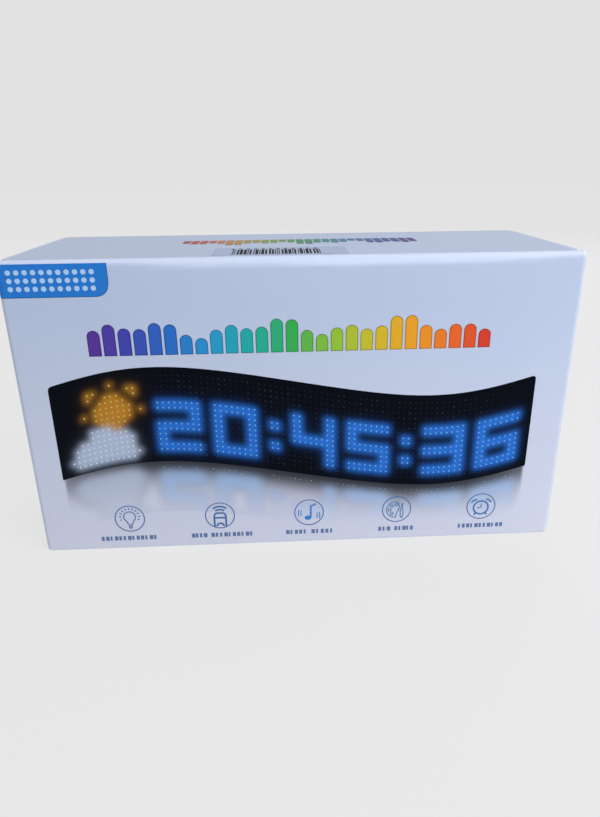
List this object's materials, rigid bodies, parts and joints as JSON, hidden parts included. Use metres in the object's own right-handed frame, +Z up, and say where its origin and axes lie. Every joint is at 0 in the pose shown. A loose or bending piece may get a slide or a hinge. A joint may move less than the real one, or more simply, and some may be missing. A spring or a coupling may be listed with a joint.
{
  "type": "printed tuck-end carton",
  "caption": "Upright printed product carton of thin board, with a hinged tuck lid at the top and the bottom, inner dust flaps, a glued back seam and a paper barcode label.",
  "frame": {"origin": "middle of the carton's footprint, on the surface it stands on", "axes": "+Z up, +X along the carton's width, front wall facing -Y"},
  "size_m": [0.205, 0.075, 0.1152],
  "materials": {
    "carton_board": "gloss film over white printed paper, uncoated inside",
    "label_paper": "matt white label paper"
  },
  "bodies": {
    "carton": {"carton_body": "carton_board"},
    "lid": {"top_lid": "carton_board", "barcode_label": "label_paper"},
    "bottom": {"bottom_lid": "carton_board"}
  },
  "joints": [
    {"name": "lid_hinge", "type": "hinge", "parent": "carton", "child": "lid", "pos_m": [0, 0.03702, 0.11452], "axis": [-1, 0, 0], "range_deg": [0, 180]},
    {"name": "bottom_hinge", "type": "hinge", "parent": "carton", "child": "bottom", "pos_m": [0, 0.03702, 0.00048], "axis": [1, 0, 0], "range_deg": [0, 180]}
  ]
}
